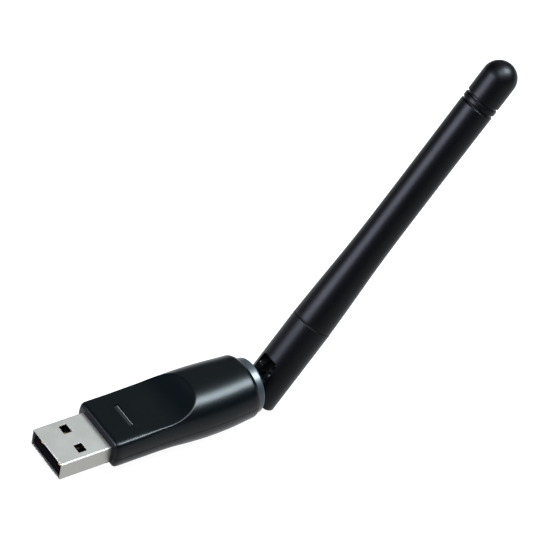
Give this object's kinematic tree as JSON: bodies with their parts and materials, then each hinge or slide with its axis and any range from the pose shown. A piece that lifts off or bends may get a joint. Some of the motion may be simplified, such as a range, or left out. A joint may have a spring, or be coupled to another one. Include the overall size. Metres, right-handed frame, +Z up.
{
  "type": "usb wifi adapter",
  "caption": "USB wifi adapter: metal plug, two-shell black housing with scooped flats and an LED slot, and a rod antenna that swivels and tilts on a forked elbow.",
  "frame": {"origin": "centre of the USB plug where it leaves the housing's front face", "axes": "+X from the plug towards the antenna, +Y to the left, +Z up through the face with the LED slot"},
  "size_m": [0.1086, 0.0166, 0.0821],
  "materials": {
    "housing_plastic": "semi-gloss moulded black",
    "antenna_plastic": "satin moulded black",
    "plug_steel": "satin nickel plate",
    "insulator_plastic": "moulded black nylon",
    "contact_gold": "thin gold plate",
    "board_green": "solder mask over glass laminate",
    "chip_black": "moulded package",
    "crystal_can": "plated can",
    "ferrite": "fired ferrite",
    "ceramic_tan": "fired ceramic with tinned ends",
    "led_white": "LED package",
    "light_pipe": "smoked translucent",
    "cable_jacket": "smooth jacket",
    "pin_steel": "ground",
    "sleeve_brass": "drawn tube",
    "wire_copper": "tinned copper wire",
    "spacer_foam": "light foam"
  },
  "bodies": {
    "housing": {"upper_shell": "housing_plastic", "lower_shell": "housing_plastic", "led_window": "light_pipe", "usb_plug_shell": "plug_steel", "plug_insulator": "insulator_plastic", "contact_vbus": "contact_gold", "contact_dminus": "contact_gold", "contact_dplus": "contact_gold", "contact_gnd": "contact_gold", "circuit_board": "board_green", "wifi_chip": "chip_black", "crystal": "crystal_can", "voltage_regulator": "chip_black", "power_inductor": "ferrite", "status_led": "led_white", "chip_capacitors": "ceramic_tan", "chip_resistors": "chip_black", "coax_board_lead": "cable_jacket"},
    "swivel": {"swivel_base": "housing_plastic", "coax_cable": "cable_jacket"},
    "antenna": {"antenna_fork": "antenna_plastic", "hinge_pin_left": "pin_steel", "hinge_pin_right": "pin_steel", "antenna_rod": "antenna_plastic", "antenna_cap": "antenna_plastic", "dipole_sleeve": "sleeve_brass", "radiating_wire": "wire_copper", "wire_spacer": "spacer_foam"}
  },
  "joints": [
    {"name": "swivel", "type": "hinge", "parent": "housing", "child": "swivel", "pos_m": [0.0379, 0, -0.00045], "axis": [1, 0, 0], "range_deg": [-90, 90]},
    {"name": "tilt", "type": "hinge", "parent": "swivel", "child": "antenna", "pos_m": [0.046, 0, -0.00045], "axis": [0, -1, 0], "range_deg": [-57, 33], "deforming": ["coax_cable"]}
  ]
}
